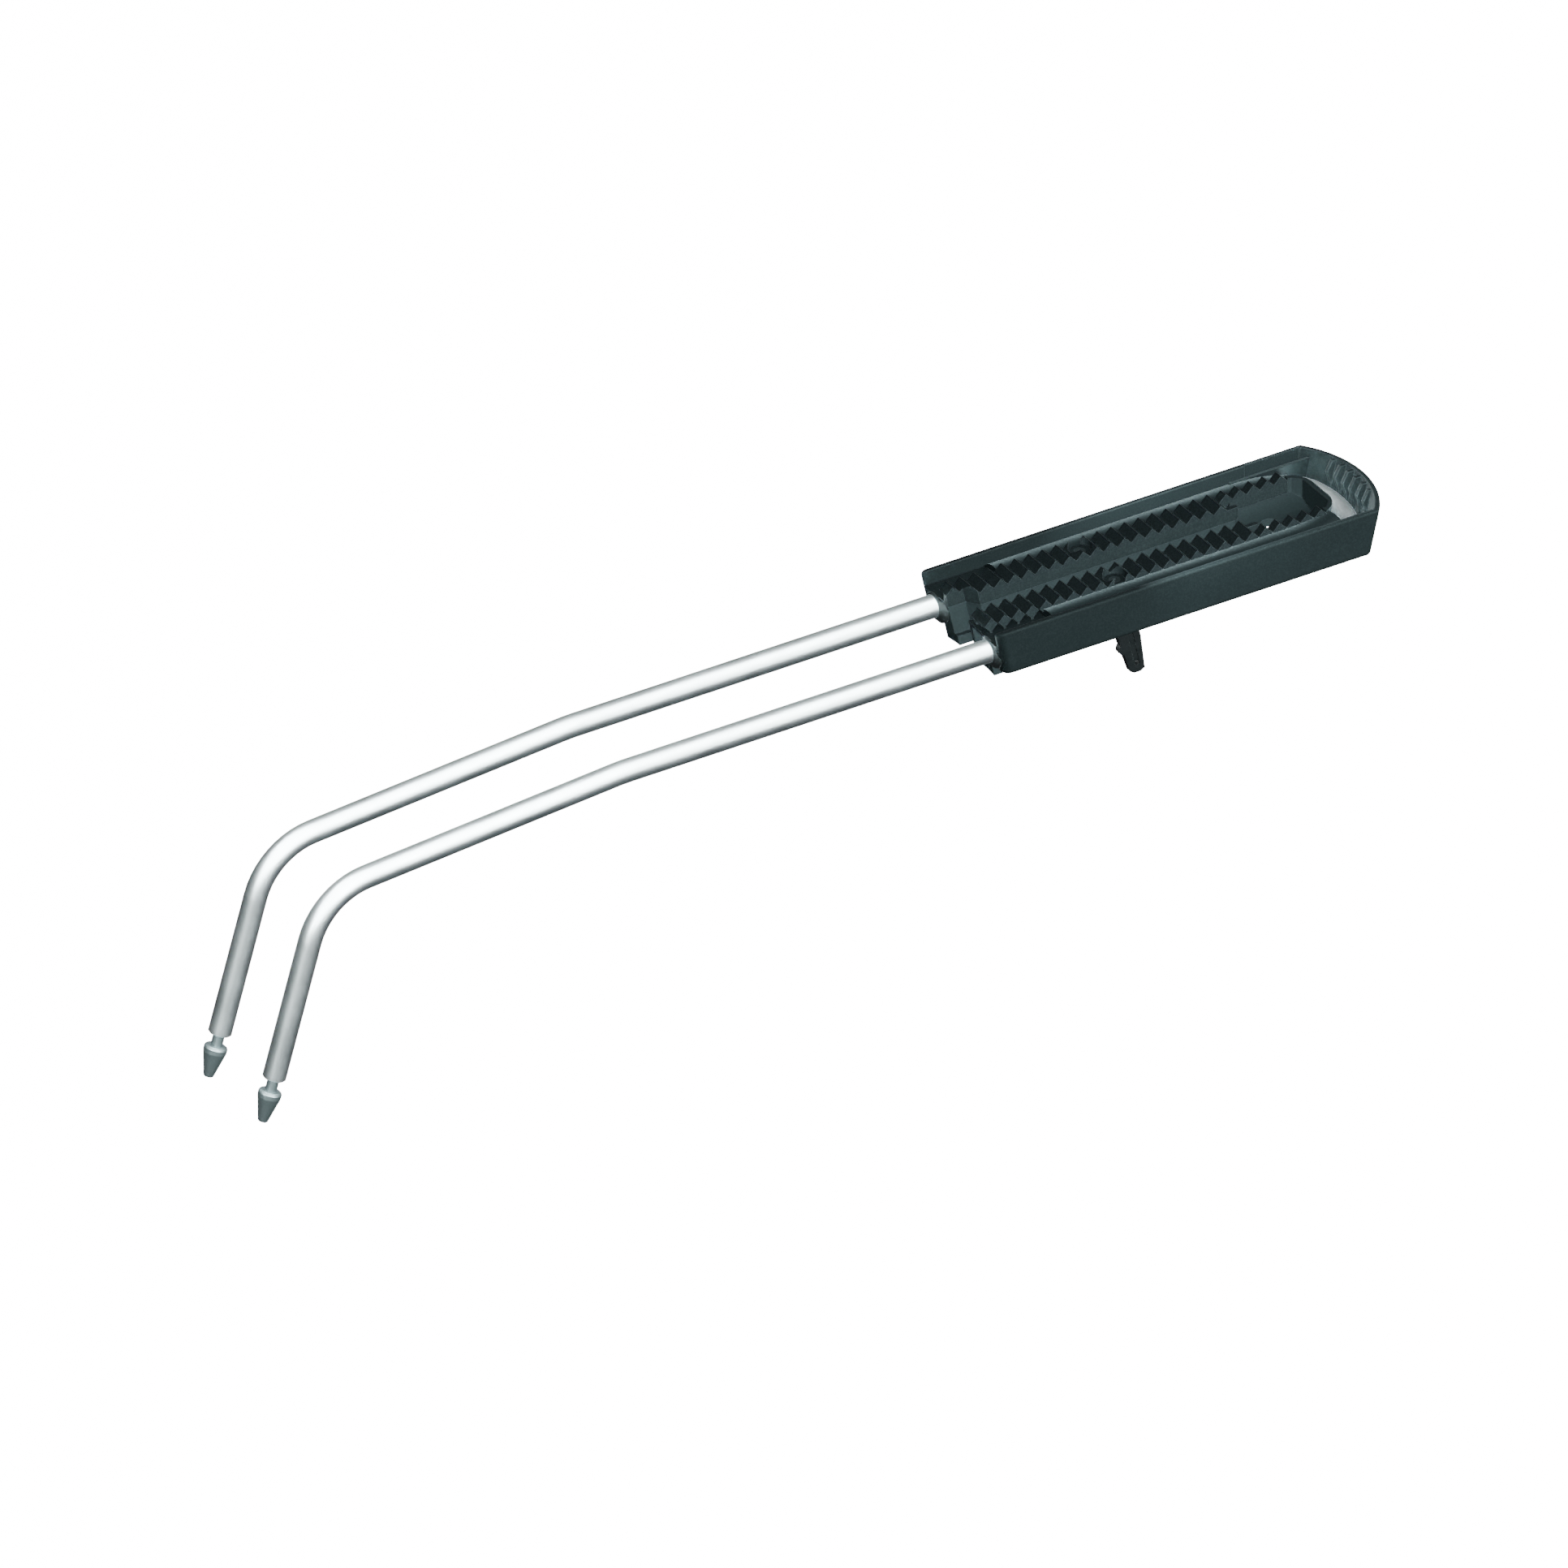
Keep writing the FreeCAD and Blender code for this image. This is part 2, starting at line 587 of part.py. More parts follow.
def make_rack(side, outline, bow, ferrules, body):
    front = box((0, COVER_X), span(SLOT_HALF, PLATE_FRONT_HALF, side), (BLOCK_TOP_Z, PLATE_TOP_Z))
    plates = [
        front.common(outline),
        box((0, RACK_REAR_X), span(SLOT_HALF, TOOTH_OUTER_Y, side), (BLOCK_TOP_Z, PLATE_TOP_Z)),
        box((RACK_REAR_X, RACK_END_X), span(POCKET_HALF, TOOTH_OUTER_Y, side),
            (BLOCK_TOP_Z, PLATE_TOP_Z)),
    ]
    if side < 0:
        lip_x = front_x(0, PLATE_TOP_Z) + LIP_LENGTH
        plates.append(box((0, lip_x), span(-MOUTH_LEFT_Y, 5, side), (BLOCK_TOP_Z, PLATE_TOP_Z)))
    bars = []
    for index in range(TOOTH_COUNT):
        x = TOOTH_FIRST_X + TOOTH_PITCH * index
        inner = SLOT_HALF if x < RACK_REAR_X - 2 else POCKET_HALF
        bars.append(tooth_bar(x, span(inner, TOOTH_OUTER_Y, side)))
    spine_x = front_x(0, TOOTH_Z) + SPINE_SET_BACK
    spines = [
        box((spine_x, RACK_REAR_X), span(SLOT_HALF, SLOT_HALF + SPINE_WIDTH, side),
            (BLOCK_TOP_Z, TOOTH_Z)),
        box((RACK_REAR_X, RACK_END_X), span(POCKET_HALF, POCKET_HALF + SPINE_WIDTH, side),
            (BLOCK_TOP_Z, TOOTH_Z)),
    ]
    if side > 0:
        spines.append(box((TOOTH_FIRST_X - TOOTH_HALF_DIAGONAL, MOUTH_END_X + 1),
                          (SLOT_HALF, MOUTH_RIGHT_Y + SPINE_WIDTH), (BLOCK_TOP_Z, TOOTH_Z)))
    clearing = upright(BOSS_CLEARING_R, BOSS_X, side * BOSS_Y, PLATE_TOP_Z, 20)
    boss = upright(BOSS_R, BOSS_X, side * BOSS_Y, BLOCK_TOP_Z, BOSS_TOP_Z)
    rack = fused(plates + bars + spines).cut(clearing).fuse(boss)
    cuts = [ahead(), cover_envelope(side), bow, body]
    if side > 0:
        cuts.append(mouth_cuts()[0])
    cuts += ferrules
    cuts.append(upright(SCREW_R, BOSS_X, side * BOSS_Y, -20, 20))
    cuts.append(upright(SCREW_HEAD_R, BOSS_X, side * BOSS_Y, BOSS_TOP_Z - SCREW_HEAD, 20))
    for cutter in cuts:
        rack = rack.cut(cutter)
    return rack


# ---------------------------------------------------------------- fasteners and saddle

def screw(x, y, seat_z, tip_z):
    """Cap screw with a round socket; its head lies on the far side of the seat from its tip."""
    way = 1 if seat_z > tip_z else -1
    shank = upright(SCREW_R, x, y, min(tip_z, seat_z), max(tip_z, seat_z))
    head = Part.makeCylinder(SCREW_HEAD_R, SCREW_HEAD, V(x, y, seat_z), V(0, 0, way))
    top = V(x, y, seat_z + way * (SCREW_HEAD - SOCKET_DEPTH))
    socket = Part.makeCylinder(SOCKET_R, SOCKET_DEPTH, top, V(0, 0, way))
    return shank.fuse(head).cut(socket)


def make_rack_screws():
    seat = BOSS_TOP_Z - SCREW_HEAD
    return [screw(BOSS_X, side * BOSS_Y, seat, RACK_SCREW_END_Z) for _, side in SIDES]


def make_keel_screws():
    return [screw(x, side * KEEL_SCREW_Y, KEEL_SCREW_SEAT_Z, KEEL_SCREW_TOP_Z)
            for x in KEEL_SCREW_X for _, side in SIDES]


def make_saddle_screws():
    seat = SHELL_BASE_Z
    return [screw(SADDLE_SCREW_X, side * SADDLE_SCREW_Y, seat, SADDLE_SCREW_TOP_Z)
            for _, side in SIDES]


def screw_shanks():
    """All the fasteners, as one cutter."""
    screws = make_rack_screws() + make_keel_screws() + make_saddle_screws()
    return Part.makeCompound(screws)


def make_saddle(bow, body):
    """Cradle under the back of the bow."""
    block = box(SADDLE_X, (-SADDLE_HALF, SADDLE_HALF), (FLOOR_TOP_Z, SADDLE_TOP_Z))
    return block.cut(bow).cut(body).cut(screw_shanks())


# ---------------------------------------------------------------- trigger

def blade():
    """Flat blade of the trigger, with a rounded toe and a nose on its front edge."""
    toe_front = (BLADE_FRONT[2][0] + BLADE_TOE_R, BLADE_TOE_Z)
    toe_rear = (BLADE_REAR[0][0] - BLADE_TOE_R, BLADE_TOE_Z)
    outline = BLADE_FRONT + (toe_front, toe_rear) + BLADE_REAR
    plate = side_prism(outline, (-BLADE_HALF, BLADE_HALF))
    nose = Part.makeCylinder(NOSE_R, 2 * BLADE_HALF, V(NOSE_CENTRE[0], -BLADE_HALF, NOSE_CENTRE[1]),
                             V(0, 1, 0))
    return fused([plate, nose])


def bead(side):
    """Lengthwise groove in one face of the blade, closed at both ends."""
    top = V(BEAD_TOP[0], 0, BEAD_TOP[1])
    foot = V(BEAD_FOOT[0], 0, BEAD_FOOT[1])
    run = foot - top
    across = V(-run.z, 0, run.x).normalize() * (BEAD_WIDTH / 2)
    corners = [top + across, foot + across, foot - across, top - across]
    face = Part.Face(Part.makePolygon(corners + corners[:1]))
    groove = face.extrude(V(0, side * 3, 0))
    groove.translate(V(0, side * (BLADE_HALF - BEAD_DEPTH), 0))
    return groove


def make_trigger():
    hub = Part.makeCylinder(HUB_R, 2 * HUB_HALF, V(PIVOT_X, -HUB_HALF, PIVOT_Z), V(0, 1, 0))
    bore = Part.makeCylinder(PIN_R + PIN_CLEARANCE, 20, V(PIVOT_X, -10, PIVOT_Z), V(0, 1, 0))
    hole = Part.makeCylinder(TOE_HOLE_R, 6, V(BEAD_FOOT[0], -3, BEAD_FOOT[1] + 0.5), V(0, 1, 0))
    hook = spring_hook()
    hook_hole = Part.makeCylinder(SPRING_HOLE_R, 6, V(hook.x, -3, hook.z), V(0, 1, 0))
    lever = fused([blade(), hub]).cut(bore).cut(hole).cut(hook_hole)
    for side in (-1, 1):
        lever = lever.cut(bead(side))
    return lever


def make_pin():
    length = 2 * BLOCK_HALF
    return Part.makeCylinder(PIN_R, length, V(PIVOT_X, -BLOCK_HALF, PIVOT_Z), V(0, 1, 0))


def make_spacer(side):
    """Plain washer on the pin, between the trigger's hub and the slot's wall."""
    y = span(HUB_HALF + SPACER_GAP, SLOT_HALF, side)
    ring = Part.makeCylinder(SPACER_R, y[1] - y[0], V(PIVOT_X, y[0], PIVOT_Z), V(0, 1, 0))
    hole = Part.makeCylinder(PIN_R, 20, V(PIVOT_X, -10, PIVOT_Z), V(0, 1, 0))
    return ring.cut(hole)


def spring_hook():
    """Where the spring's rear leg turns in towards the trigger."""
    return V(PIVOT_X + SPRING_COIL_R, SPRING_FIRST_Y, PIVOT_Z - SPRING_HOOK_DROP)


def spring_coil():
    """Touching turns, turned in one piece; the centre of the first turn is at SPRING_FIRST_Y."""
    circles = []
    for turn in range(SPRING_TURNS):
        centre = V(SPRING_COIL_R, 0, SPRING_PITCH * turn)
        circles.append(Part.Face(Part.Wire(Part.makeCircle(SPRING_WIRE_R, centre, V(0, 1, 0)))))
    section = fused(circles).Faces[0]
    coil = section.revolve(V(0, 0, 0), V(0, 0, 1), 360)
    coil.Placement = FreeCAD.Placement(V(PIVOT_X, SPRING_FIRST_Y, PIVOT_Z),
                                       FreeCAD.Rotation(V(0, 0, 1), V(0, -1, 0)))
    return coil


def make_spring():
    """Torsion spring with a leg along the slot's floor and a leg hooked into the trigger."""
    hook = spring_hook()
    last_y = SPRING_FIRST_Y - SPRING_PITCH * (SPRING_TURNS - 1)
    foot = V(PIVOT_X, last_y, PIVOT_Z - SPRING_COIL_R)
    across = SPRING_HOOK_END_Y - SPRING_FIRST_Y
    upright_leg = Part.makeCylinder(SPRING_LEG_R, SPRING_HOOK_DROP + SPRING_LEG_R,
                                    hook - V(0, 0, SPRING_LEG_R), V(0, 0, 1))
    cross_leg = Part.makeCylinder(SPRING_CROSS_R, across, hook, V(0, 1, 0))
    rear_leg = upright_leg.fuse(cross_leg)
    floor_leg = Part.makeCylinder(SPRING_LEG_R, SPRING_FLOOR_LEG, foot, V(1, 0, 0))
    return spring_coil().fuse(rear_leg).fuse(floor_leg)


# ---------------------------------------------------------------- assembly

def make_parts():
    outline = grip_outline()
    bow = make_bow()
    ferrules = [make_ferrule(side) for _, side in SIDES]
    body = make_channel_body(bow, ferrules)
    parts = {
        "grip_shell": make_shell(outline, bow, ferrules),
        "channel_body": body,
        "steel_bow": bow,
        "bow_saddle": make_saddle(bow, body),
        "rack_screws": Part.makeCompound(make_rack_screws()),
        "keel_screws": Part.makeCompound(make_keel_screws()),
        "saddle_screws": Part.makeCompound(make_saddle_screws()),
        "trigger": make_trigger(),
        "trigger_pin": make_pin(),
        "trigger_spring": make_spring(),
    }
    for (name, side), ferrule in zip(SIDES, ferrules):
        parts["tip_" + name] = make_tip(side)
        parts["ferrule_" + name] = ferrule
        parts["rod_cover_" + name] = make_rod_cover(side, bow, body)
        parts["rack_" + name] = make_rack(side, outline, bow, ferrules, body)
        parts["spacer_" + name] = make_spacer(side)
    return parts


os.makedirs("parts", exist_ok=True)
for node, shape in make_parts().items():
    shape.translate(ORIGIN * -1)
    shape.exportStep("parts/" + node + ".step")
    limits = shape.BoundBox
    print(node, "valid" if shape.isValid() else "INVALID", "solids", len(shape.Solids),
          "volume", round(shape.Volume, 1), "x %.2f %.2f y %.2f %.2f z %.2f %.2f" % (
              limits.XMin, limits.XMax, limits.YMin, limits.YMax, limits.ZMin, limits.ZMax))
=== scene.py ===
import json
import math

import bmesh
import bpy
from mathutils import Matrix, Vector


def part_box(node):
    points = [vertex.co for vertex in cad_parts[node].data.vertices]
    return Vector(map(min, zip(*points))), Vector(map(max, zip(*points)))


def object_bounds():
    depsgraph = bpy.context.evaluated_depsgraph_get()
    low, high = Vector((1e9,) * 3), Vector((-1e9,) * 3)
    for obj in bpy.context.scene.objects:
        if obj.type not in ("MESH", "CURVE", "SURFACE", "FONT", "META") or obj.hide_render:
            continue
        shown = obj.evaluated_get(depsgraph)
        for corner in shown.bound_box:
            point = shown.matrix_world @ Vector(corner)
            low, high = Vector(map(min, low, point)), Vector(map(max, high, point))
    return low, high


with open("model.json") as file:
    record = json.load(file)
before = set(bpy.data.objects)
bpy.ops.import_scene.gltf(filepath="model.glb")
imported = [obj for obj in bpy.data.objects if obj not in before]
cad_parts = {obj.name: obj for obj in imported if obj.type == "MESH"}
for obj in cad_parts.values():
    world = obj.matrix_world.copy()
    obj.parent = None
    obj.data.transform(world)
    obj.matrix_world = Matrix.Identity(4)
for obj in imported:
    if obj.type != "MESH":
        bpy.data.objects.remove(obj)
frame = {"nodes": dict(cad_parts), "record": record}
CAD_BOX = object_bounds()
MM = 0.001

# Camera: the photograph's direction, with no perspective
AZIMUTH = -32.30
ELEVATION = 31.63
VIEW_WIDTH = 385.8 * MM
CAMERA_DISTANCE = 1.6
# The middle of the view, as distances along the camera's right and up from the pivot of the trigger
VIEW_RIGHT = -81.39 * MM
VIEW_UP = -47.22 * MM

# Floor and lights
FLOOR_HALF = 3.0
FLOOR_GLOW = 16.0
SKY_HIGH = (0.62, 0.66, 0.66)
SKY_LOW = (0.035, 0.04, 0.04)
SKY_LOW_AT = 0.35
SKY_HIGH_AT = 0.72
SKY_STRENGTH = 0.15
PAPER_SHADE = (0.90, 0.91, 0.91, 1.0)
PAPER_LIGHT = (0.93, 0.94, 0.94, 1.0)
SOFTBOX_DISTANCE = 1.1
SOFTBOX_SIZE = 0.9
NEAR_POWER = 13.5
INNER_POWER = 11.0
TRAY_POWER = 0.05
REAR_POWER = 3.0
STEEL_POWER = 225.0
COVER_POWER = 4.5
BACK_POWER = 11.0
LIGHT_TINT = (0.93, 1.0, 1.0)
COVER_TINT = (0.72, 0.96, 1.0)

# Looks shared by several materials
PLASTIC_IOR = 1.49
PLASTIC_SPECULAR = 0.3
PLASTIC_SPECULAR_TINT = (0.78, 1.0, 1.0, 1.0)
GRAIN_DEPTH = 0.012 * MM
PEEL_DEPTH = 0.02 * MM


# ---------------------------------------------------------------- node helpers

class Nodes:
    """Short calls for a material's node tree."""

    def __init__(self, name):
        self.material = bpy.data.materials.new(name)
        self.material.use_nodes = True
        self.tree = self.material.node_tree
        self.tree.nodes.clear()
        self.output = self.tree.nodes.new("ShaderNodeOutputMaterial")
        self.shader = self.tree.nodes.new("ShaderNodeBsdfPrincipled")
        self.link(self.shader.outputs["BSDF"], self.output.inputs["Surface"])
        self.place = self.tree.nodes.new("ShaderNodeTexCoord").outputs["Object"]

    def link(self, source, target):
        self.tree.links.new(source, target)

    def put(self, socket, value):
        """A number, colour or other socket into an input."""
        if isinstance(value, bpy.types.NodeSocket):
            self.link(value, socket)
        else:
            socket.default_value = value

    def noise(self, scale, detail=2.0, roughness=0.5, stretch=None):
        node = self.tree.nodes.new("ShaderNodeTexNoise")
        node.inputs["Scale"].default_value = scale
        node.inputs["Detail"].default_value = detail
        node.inputs["Roughness"].default_value = roughness
        place = self.place
        if stretch:
            mapping = self.tree.nodes.new("ShaderNodeMapping")
            mapping.inputs["Scale"].default_value = stretch
            self.link(self.place, mapping.inputs["Vector"])
            place = mapping.outputs["Vector"]
        self.link(place, node.inputs["Vector"])
        return node.outputs["Fac"]

    def ramp(self, value, low, high, out_low=0.0, out_high=1.0):
        node = self.tree.nodes.new("ShaderNodeMapRange")
        node.inputs["From Min"].default_value = low
        node.inputs["From Max"].default_value = high
        node.inputs["To Min"].default_value = out_low
        node.inputs["To Max"].default_value = out_high
        self.link(value, node.inputs["Value"])
        return node.outputs["Result"]

    def math(self, operation, a, b):
        node = self.tree.nodes.new("ShaderNodeMath")
        node.operation = operation
        self.put(node.inputs[0], a)
        self.put(node.inputs[1], b)
        return node.outputs[0]

    def mix(self, factor, a, b):
        node = self.tree.nodes.new("ShaderNodeMix")
        node.data_type = "RGBA"
        self.put(node.inputs["Factor"], factor)
        self.put(node.inputs[6], a)
        self.put(node.inputs[7], b)
        return node.outputs[2]

    def edge(self, radius):
        """Softened normal and a mask of the edges that it softens."""
        bevel = self.tree.nodes.new("ShaderNodeBevel")
        bevel.samples = 4
        bevel.inputs["Radius"].default_value = radius
        geometry = self.tree.nodes.new("ShaderNodeNewGeometry")
        dot = self.tree.nodes.new("ShaderNodeVectorMath")
        dot.operation = "DOT_PRODUCT"
        self.link(bevel.outputs["Normal"], dot.inputs[0])
        self.link(geometry.outputs["Normal"], dot.inputs[1])
        return bevel.outputs["Normal"], self.ramp(dot.outputs["Value"], 0.985, 0.80)

    def bump(self, height, distance, normal):
        node = self.tree.nodes.new("ShaderNodeBump")
        node.inputs["Distance"].default_value = distance
        self.link(height, node.inputs["Height"])
        self.link(normal, node.inputs["Normal"])
        return node.outputs["Normal"]


def srgb(r, g, b, alpha=1.0):
    """Linear colour from 0-255 display values."""
    def linear(v):
        v /= 255.0
        return v / 12.92 if v <= 0.04045 else ((v + 0.055) / 1.055) ** 2.4
    return (linear(r), linear(g), linear(b), alpha)


# ---------------------------------------------------------------- materials

def plastic(name, colour, light, dark, rough, wear_and_edge_highlight=0.5, edge_width=0.22 * MM):
    """Moulded plastic: fine spark-eroded grain, slow colour drift, and paler edges from rubbed wear
    and painted edge highlight.
    """
    n = Nodes(name)
    drift = n.ramp(n.noise(60.0, 3.0, 0.55), 0.35, 0.68)
    speck = n.ramp(n.noise(2600.0, 2.0, 0.6), 0.42, 0.70)
    scuff = n.ramp(n.noise(420.0, 4.0, 0.62, stretch=(0.25, 1.0, 1.0)), 0.56, 0.74)
    body = n.mix(n.math("MULTIPLY", drift, 0.40), colour, dark)
    body = n.mix(n.math("MULTIPLY", speck, 0.12), body, light)
    body = n.mix(n.math("MULTIPLY", scuff, 0.06), body, light)
    grainy = n.noise(1900.0, 3.0, 0.55)
    # Edges mix towards the pale tone in patches: partly rubbed wear, partly painted edge highlight.
    if wear_and_edge_highlight:
        normal, edge = n.edge(edge_width)
        patch = n.ramp(n.noise(260.0, 3.0, 0.6), 0.30, 0.62, 0.35, 1.0)
        body = n.mix(n.math("MULTIPLY", n.math("MULTIPLY", edge, patch), wear_and_edge_highlight), body, light)
        n.link(n.bump(grainy, GRAIN_DEPTH, normal), n.shader.inputs["Normal"])
    n.link(body, n.shader.inputs["Base Color"])
    wave = n.ramp(n.noise(45.0, 2.0, 0.5), 0.3, 0.7, -0.05, 0.05)
    roughness = n.math("ADD", n.ramp(grainy, 0.3, 0.7, rough - 0.07, rough + 0.09), wave)
    n.link(roughness, n.shader.inputs["Roughness"])
    n.shader.inputs["IOR"].default_value = PLASTIC_IOR
    n.shader.inputs["Specular IOR Level"].default_value = PLASTIC_SPECULAR
    n.shader.inputs["Specular Tint"].default_value = PLASTIC_SPECULAR_TINT
    return n.material


def steel(name, colour, shade, rough, draw=(1.0, 1.0, 1.0), metallic=1.0):
    """Bare steel: drawing or turning marks, faint stains, small scratches."""
    n = Nodes(name)
    marks = n.noise(2200.0, 3.0, 0.65, stretch=draw)
    stain = n.ramp(n.noise(140.0, 4.0, 0.6), 0.45, 0.75)
    body = n.mix(n.math("MULTIPLY", stain, 0.12), colour, shade)
    body = n.mix(n.ramp(marks, 0.35, 0.75, 0.0, 0.10), body, shade)
    n.link(body, n.shader.inputs["Base Color"])
    n.shader.inputs["Metallic"].default_value = metallic
    rub = n.ramp(n.noise(90.0, 3.0, 0.6), 0.35, 0.7, -0.02, 0.02)
    n.link(n.math("ADD", n.ramp(marks, 0.3, 0.7, rough - 0.02, rough + 0.03), rub),
           n.shader.inputs["Roughness"])
    return n.material


def coat(name, colour, light, rough):
    """Powder coat: orange-peel, paler where the edges are rubbed through."""
    n = Nodes(name)
    peel = n.noise(900.0, 2.0, 0.5)
    normal, edge = n.edge(0.18 * MM)
    chip = n.ramp(n.noise(600.0, 3.0, 0.65), 0.48, 0.60)
    body = n.mix(n.ramp(n.noise(120.0, 3.0, 0.6), 0.35, 0.7, 0.0, 0.4), colour, light)
    body = n.mix(n.math("MULTIPLY", edge, chip), body, srgb(120, 130, 132))
    n.link(body, n.shader.inputs["Base Color"])
    n.link(n.ramp(peel, 0.3, 0.7, rough - 0.06, rough + 0.08), n.shader.inputs["Roughness"])
    n.link(n.bump(peel, PEEL_DEPTH, normal), n.shader.inputs["Normal"])
    return n.material


MATERIALS = {
    "grip_plastic": plastic("moulded_grip", srgb(36, 45, 47), srgb(84, 96, 98),
                            srgb(31, 39, 41), 0.58, wear_and_edge_highlight=0.9, edge_width=0.6 * MM),
    # The block's base is a lighter copy of the grip's plastic: painted light on its walls.
    "block_plastic": plastic("moulded_block_painted_lighter", srgb(47, 57, 59), srgb(74, 85, 87),
                             srgb(40, 49, 51), 0.58),
    "rack_plastic": plastic("moulded_rack", srgb(34, 42, 44), srgb(96, 108, 110),
                            srgb(28, 35, 37), 0.55, wear_and_edge_highlight=0.9),
    "cover_plastic": plastic("moulded_cover", srgb(31, 39, 41), srgb(66, 78, 80),
                             srgb(26, 33, 35), 0.42, wear_and_edge_highlight=0.0),
    "bow_steel": steel("drawn_steel", srgb(242, 250, 252), srgb(220, 232, 235), 0.33,
                       draw=(0.06, 1.0, 1.0)),
    "tip_steel": steel("hardened_steel", srgb(116, 128, 130), srgb(92, 103, 105), 0.42,
                       metallic=0.92),
    "ferrule_steel": steel("turned_steel", srgb(150, 162, 164), srgb(110, 122, 124), 0.42,
                           draw=(1.0, 0.1, 0.1)),
    "screw_steel": steel("black_steel", srgb(62, 73, 75), srgb(50, 60, 62), 0.45, metallic=0.3),
    "trigger_paint": coat("coated_lever", srgb(26, 33, 35), srgb(36, 44, 46), 0.50),
    "pin_steel": steel("ground_steel", srgb(205, 213, 214), srgb(150, 160, 162), 0.22),
    "spring_steel": steel("spring_wire", srgb(190, 198, 199), srgb(130, 140, 142), 0.28),
    "spacer_nylon": plastic("nylon_spacer", srgb(214, 212, 202), srgb(232, 231, 225),
                            srgb(196, 192, 180), 0.45, wear_and_edge_highlight=0.2),
}
BRIGHT_SLOTS = ("bow_steel", "tip_steel")
INNER_SLOTS = ("rack_plastic", "block_plastic", "cover_plastic", "ferrule_steel", "screw_steel")


def dress_nodes():
    """Every CAD node takes its record slot's material."""
    for part in frame["record"]["subparts"]:
        node = frame["nodes"][part["node"]]
        material = MATERIALS[part["material_slot"]]
        for slot in node.material_slots:
            slot.material = material
        if not node.material_slots:
            node.data.materials.append(material)


# ---------------------------------------------------------------- stage

def view_axes():
    """Camera's right, up and backward directions."""
    a, e = math.radians(AZIMUTH), math.radians(ELEVATION)
    back = Vector((math.sin(a) * math.cos(e), -math.cos(a) * math.cos(e), math.sin(e)))
    right = Vector((math.cos(a), math.sin(a), 0.0))
    return right, back.cross(right), back


def make_camera():
    right, up, back = view_axes()
    joint = frame["record"]["behaviour"]["joints"][0]
    aim = Vector(joint["pos_m"]) + right * VIEW_RIGHT + up * VIEW_UP
    data = bpy.data.cameras.new("camera")
    data.type = "ORTHO"
    data.ortho_scale = VIEW_WIDTH
    camera = bpy.data.objects.new("camera", data)
    camera.rotation_mode = "QUATERNION"
    camera.rotation_quaternion = (-back).to_track_quat("-Z", "Y")
    camera.location = aim + back * CAMERA_DISTANCE
    bpy.context.scene.collection.objects.link(camera)
    bpy.context.scene.camera = camera
    return aim


def make_light(name, aim, direction, distance, size, power, lit=None, shadow=True, tint=LIGHT_TINT):
    """Soft square light that faces the object, or only the parts in one collection."""
    data = bpy.data.lights.new(name, "AREA")
    data.shape = "SQUARE"
    data.size = size
    data.energy = power
    data.color = tint
    data.use_shadow = shadow
    data.cycles.use_multiple_importance_sampling = shadow
    light = bpy.data.objects.new(name, data)
    way = Vector(direction).normalized()
    light.location = aim + way * distance
    light.rotation_mode = "QUATERNION"
    light.rotation_quaternion = (-way).to_track_quat("-Z", "Y")
    light.visible_camera = False
    bpy.context.scene.collection.objects.link(light)
    if lit:
        light.light_linking.receiver_collection = lit


def parts_of(slots):
    """Collection of the nodes that use some of the record's material slots, to be lit alone."""
    parts = bpy.data.collections.new("lit_" + slots[0])
    for part in frame["record"]["subparts"]:
        if part["material_slot"] in slots:
            parts.objects.link(frame["nodes"][part["node"]])
    return parts


def make_floor():
    mesh = bpy.data.meshes.new("studio_floor")
    level = CAD_BOX[0].z
    shape = bmesh.new()
    corners = [(-1, -1), (1, -1), (1, 1), (-1, 1)]
    shape.faces.new([shape.verts.new((x * FLOOR_HALF, y * FLOOR_HALF, level)) for x, y in corners])
    shape.to_mesh(mesh)
    shape.free()
    floor = bpy.data.objects.new("studio_floor", mesh)
    n = Nodes("paper_sweep")
    tone = n.ramp(n.noise(3.0, 3.0, 0.5), 0.3, 0.7)
    n.link(n.mix(tone, PAPER_SHADE, PAPER_LIGHT), n.shader.inputs["Base Color"])
    n.link(n.ramp(n.noise(700.0, 2.0, 0.5), 0.3, 0.7, 0.85, 0.95), n.shader.inputs["Roughness"])
    n.shader.inputs["Specular IOR Level"].default_value = 0.1
    n.shader.inputs["Emission Color"].default_value = (1.0, 1.0, 1.0, 1.0)
    n.shader.inputs["Emission Strength"].default_value = FLOOR_GLOW
    floor.visible_diffuse = False
    floor.visible_glossy = False
    mesh.materials.append(n.material)
    bpy.context.scene.collection.objects.link(floor)


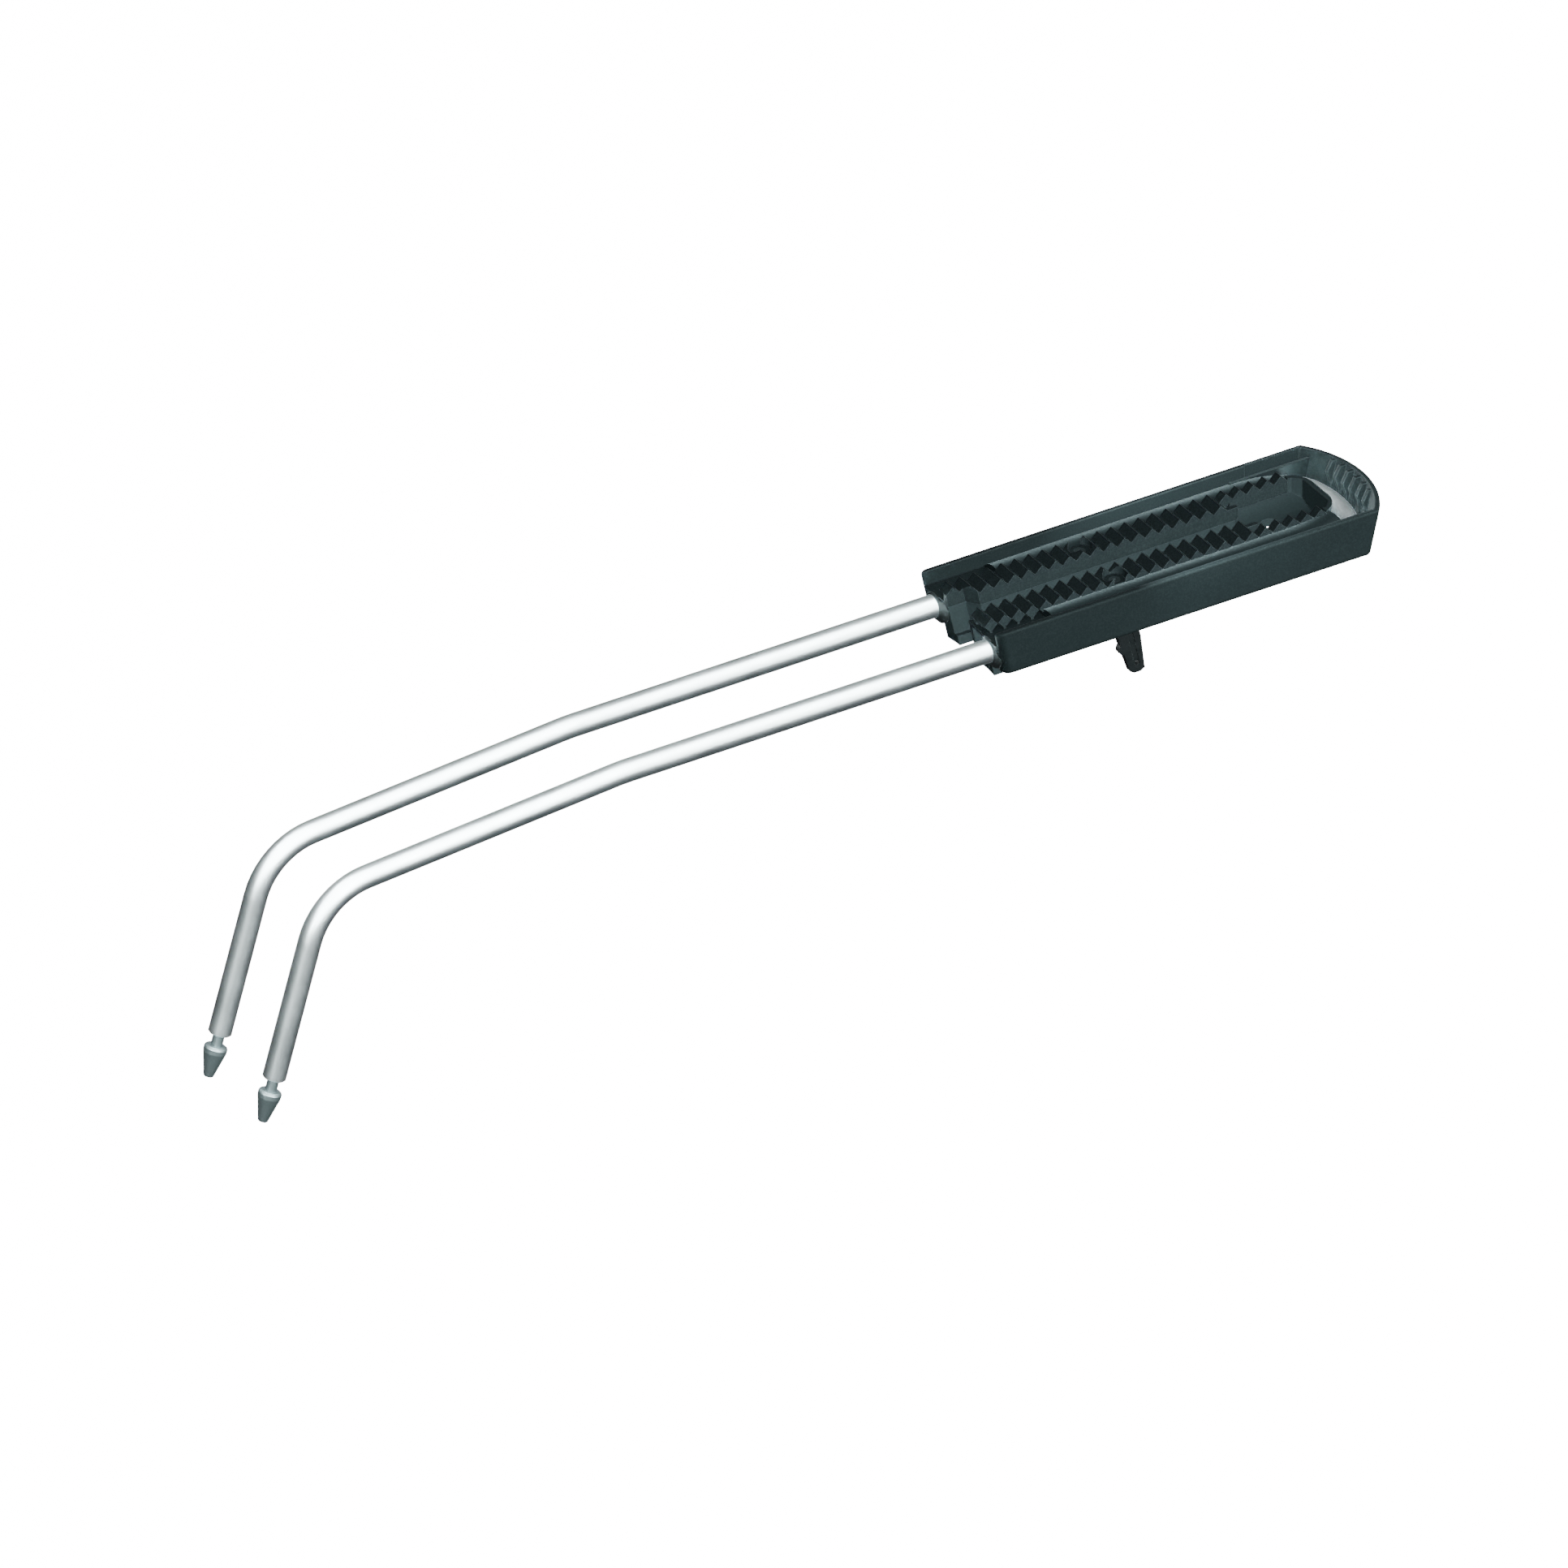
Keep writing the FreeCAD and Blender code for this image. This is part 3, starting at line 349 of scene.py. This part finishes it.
def make_world():
    """Soft sky that darkens below the horizon, as a studio with a dark table under the set."""
    world = bpy.data.worlds.new("studio")
    world.use_nodes = True
    tree = world.node_tree
    background = tree.nodes["Background"]
    background.inputs["Strength"].default_value = SKY_STRENGTH
    place = tree.nodes.new("ShaderNodeTexCoord")
    split = tree.nodes.new("ShaderNodeSeparateXYZ")
    tree.links.new(place.outputs["Generated"], split.inputs[0])
    ramp = tree.nodes.new("ShaderNodeValToRGB")
    ramp.color_ramp.elements[0].position = SKY_LOW_AT
    ramp.color_ramp.elements[0].color = (*SKY_LOW, 1.0)
    ramp.color_ramp.elements[1].position = SKY_HIGH_AT
    ramp.color_ramp.elements[1].color = (*SKY_HIGH, 1.0)
    height = tree.nodes.new("ShaderNodeMapRange")
    height.inputs["From Min"].default_value = -1.0
    tree.links.new(split.outputs["Z"], height.inputs["Value"])
    tree.links.new(height.outputs["Result"], ramp.inputs["Fac"])
    tree.links.new(ramp.outputs["Color"], background.inputs["Color"])
    bpy.context.scene.world = world


def make_lights(aim):
    """Soft lights round the object. Those with no shadow also reach into the tray."""
    shell_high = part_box("grip_shell")[1]
    rear_wall = Vector((shell_high[0], 0.0, shell_high[2] - 4 * MM))
    far, size = SOFTBOX_DISTANCE, SOFTBOX_SIZE
    make_light("near_softbox", aim, (0.25, -0.90, 0.32), far, size, NEAR_POWER, shadow=False)
    make_light("inner_softbox", aim, (-0.35, -0.90, 0.22), far, size, INNER_POWER,
               parts_of(INNER_SLOTS), shadow=False)
    make_light("tray_light", rear_wall, (-0.85, -0.20, 0.50), 0.07, 0.05, TRAY_POWER,
               parts_of(("grip_plastic",)), shadow=False)
    make_light("rear_softbox", aim, (0.80, -0.30, 0.50), 1.2, size, REAR_POWER)
    make_light("steel_softbox", aim, (-0.29, -0.46, 0.84), 1.0, 2.2, STEEL_POWER,
               parts_of(BRIGHT_SLOTS), shadow=False)
    make_light("cover_softbox", aim, (0.45, 0.86, 0.28), 1.0, 0.7, COVER_POWER,
               parts_of(("cover_plastic",)), shadow=False, tint=COVER_TINT)
    make_light("back_softbox", aim, (-0.20, 0.95, 0.08), far, size, BACK_POWER,
               parts_of(("grip_plastic", "trigger_paint")), shadow=False)


dress_nodes()
view_centre = make_camera()
make_floor()
make_world()
make_lights(view_centre)
